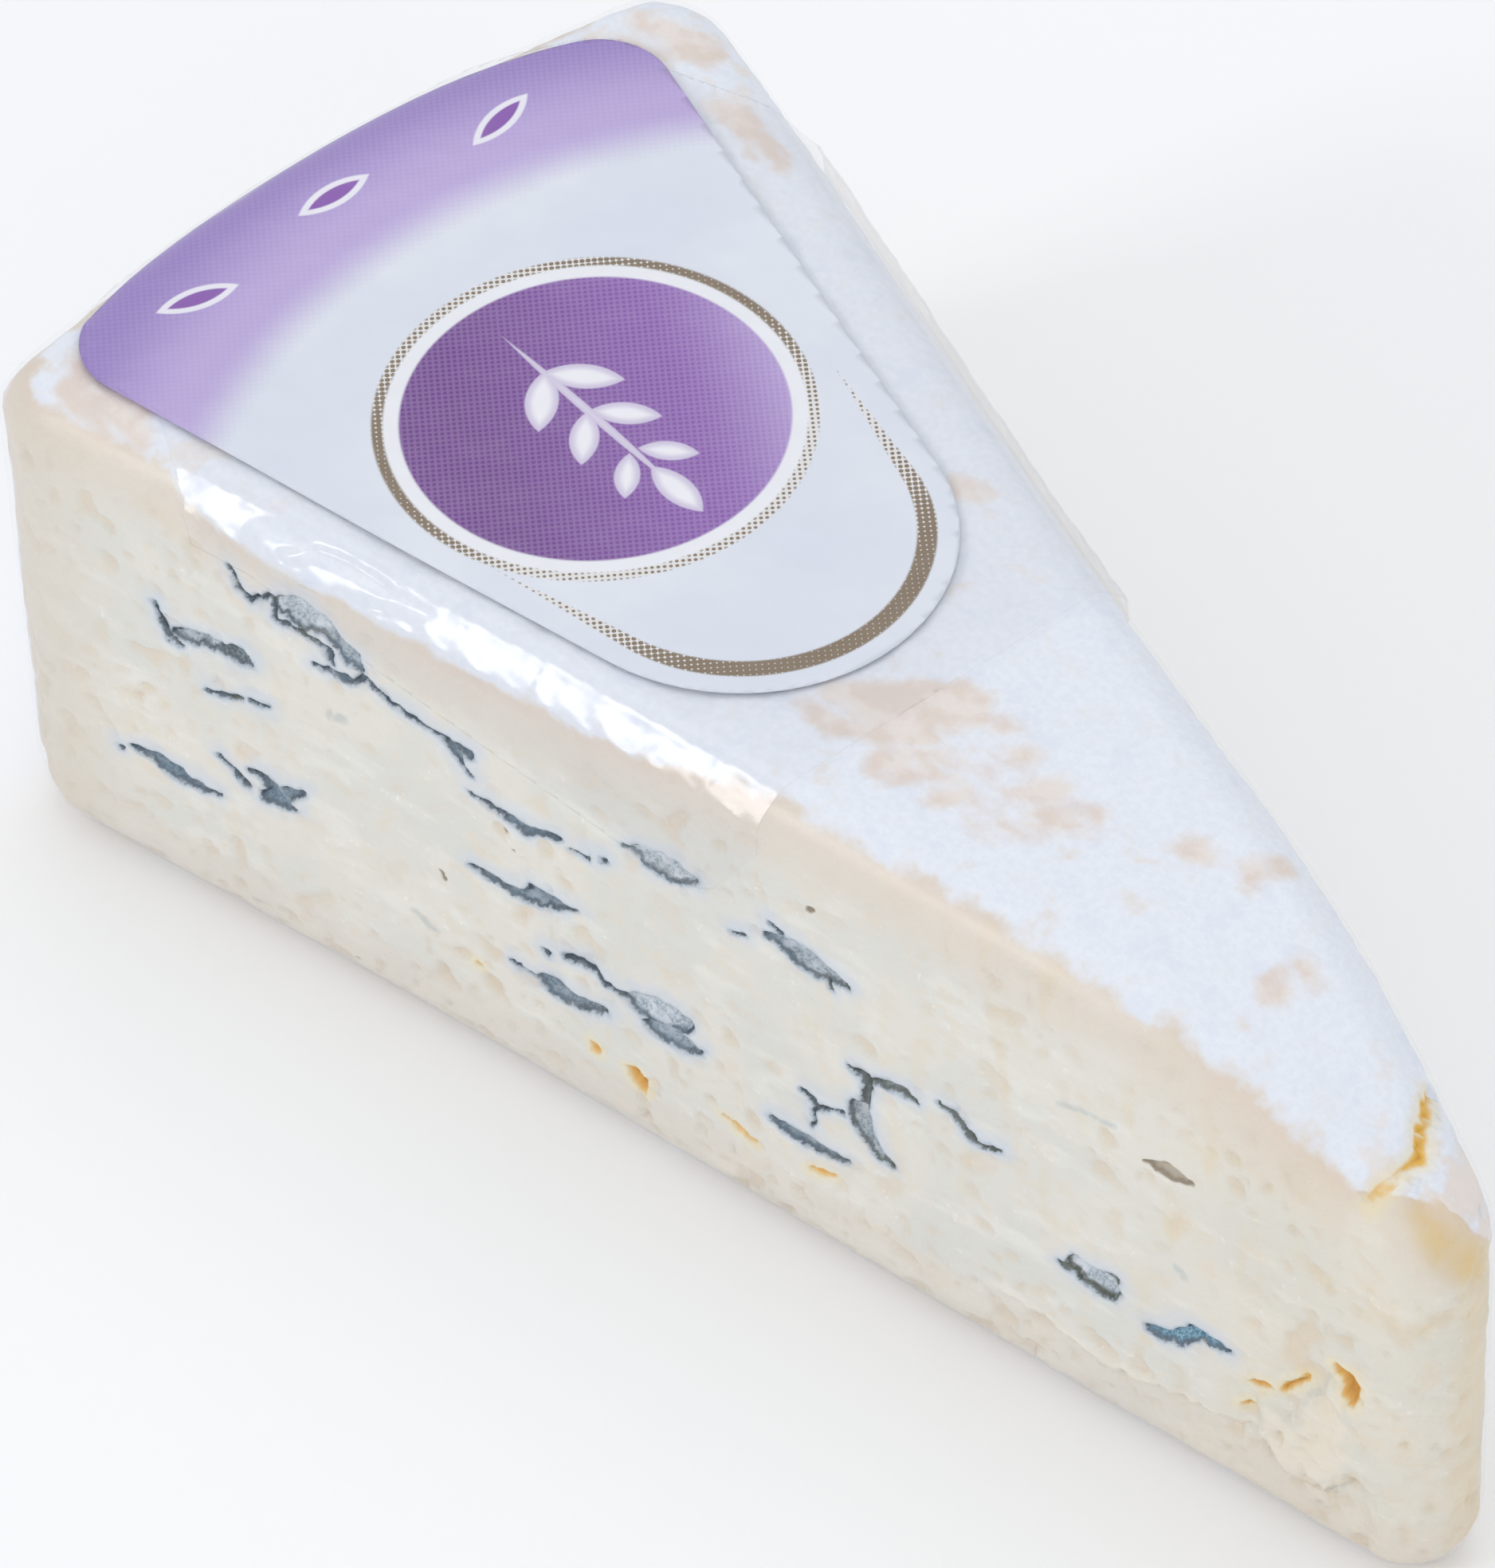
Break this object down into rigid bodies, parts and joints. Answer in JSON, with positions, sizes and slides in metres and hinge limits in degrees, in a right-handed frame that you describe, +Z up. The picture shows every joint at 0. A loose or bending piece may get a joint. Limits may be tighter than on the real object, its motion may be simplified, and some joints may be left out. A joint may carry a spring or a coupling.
{
  "type": "blue cheese wedge",
  "caption": "Wedge of white-rinded soft blue cheese in clinging clear film, with a printed film label folded over its top edges.",
  "frame": {"origin": "on the surface that the wedge lies on, under the middle of its bounding box", "axes": "+X towards the tip, +Z up, -Y towards the near cut face"},
  "size_m": [0.1102, 0.0558, 0.0405],
  "materials": {
    "cheese": "cream paste with blue mould pockets and a white bloomy rind, wet-looking under clear cling film",
    "wrap_film": "clear glossy cling film, drawn tight, with fine wrinkles and a welded seam under the base",
    "label_film": "clear glossy label film",
    "label_print": "white, lilac and purple print with warm gold-grey lines, glossy"
  },
  "bodies": {
    "root": {"cheese_wedge": "cheese", "label": "label_print"}
  },
  "joints": []
}
